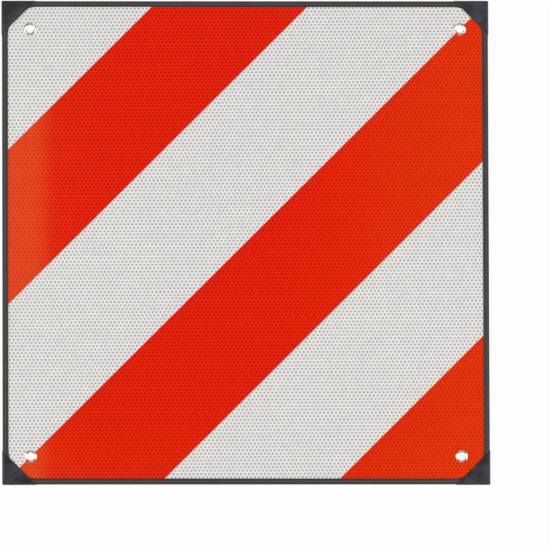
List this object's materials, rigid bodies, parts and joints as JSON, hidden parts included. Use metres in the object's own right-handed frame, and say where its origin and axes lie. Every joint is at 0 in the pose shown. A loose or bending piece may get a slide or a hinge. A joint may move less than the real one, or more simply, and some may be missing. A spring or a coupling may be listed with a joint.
{
  "type": "reflective warning panel",
  "caption": "Square two-faced reflective panel with diagonal red and white stripes, a dark U-shaped edge trim, triangular corner caps and a brass eyelet near each corner.",
  "frame": {"origin": "below the panel's centre, on the plane of the corner caps' back faces, which the panel rests on", "axes": "+Z out of the front face, +Y to the upper edge and +X to the right edge as seen from the front"},
  "size_m": [0.504, 0.504, 0.0067],
  "materials": {
    "plate_aluminium": "mill finish, rolled",
    "white_reflective_sheet": "honeycomb reflective sheet, white",
    "red_print": "transparent red screen print on honeycomb sheet",
    "trim_vinyl": "soft vinyl, satin charcoal",
    "cap_plastic": "moulded, satin black",
    "eyelet_brass": "polished pale brass"
  },
  "bodies": {
    "root": {"aluminium_plate": "plate_aluminium", "front_reflective_sheet": "white_reflective_sheet", "back_reflective_sheet": "white_reflective_sheet", "front_red_stripe_1": "red_print", "front_red_stripe_2": "red_print", "front_red_stripe_3": "red_print", "back_red_stripe_1": "red_print", "back_red_stripe_2": "red_print", "back_red_stripe_3": "red_print", "back_red_stripe_4": "red_print", "back_red_stripe_5": "red_print", "edge_trim": "trim_vinyl", "corner_cap_top_left": "cap_plastic", "corner_cap_top_right": "cap_plastic", "corner_cap_bottom_left": "cap_plastic", "corner_cap_bottom_right": "cap_plastic", "eyelet_top_left": "eyelet_brass", "eyelet_top_right": "eyelet_brass", "eyelet_bottom_left": "eyelet_brass", "eyelet_bottom_right": "eyelet_brass"}
  },
  "joints": []
}
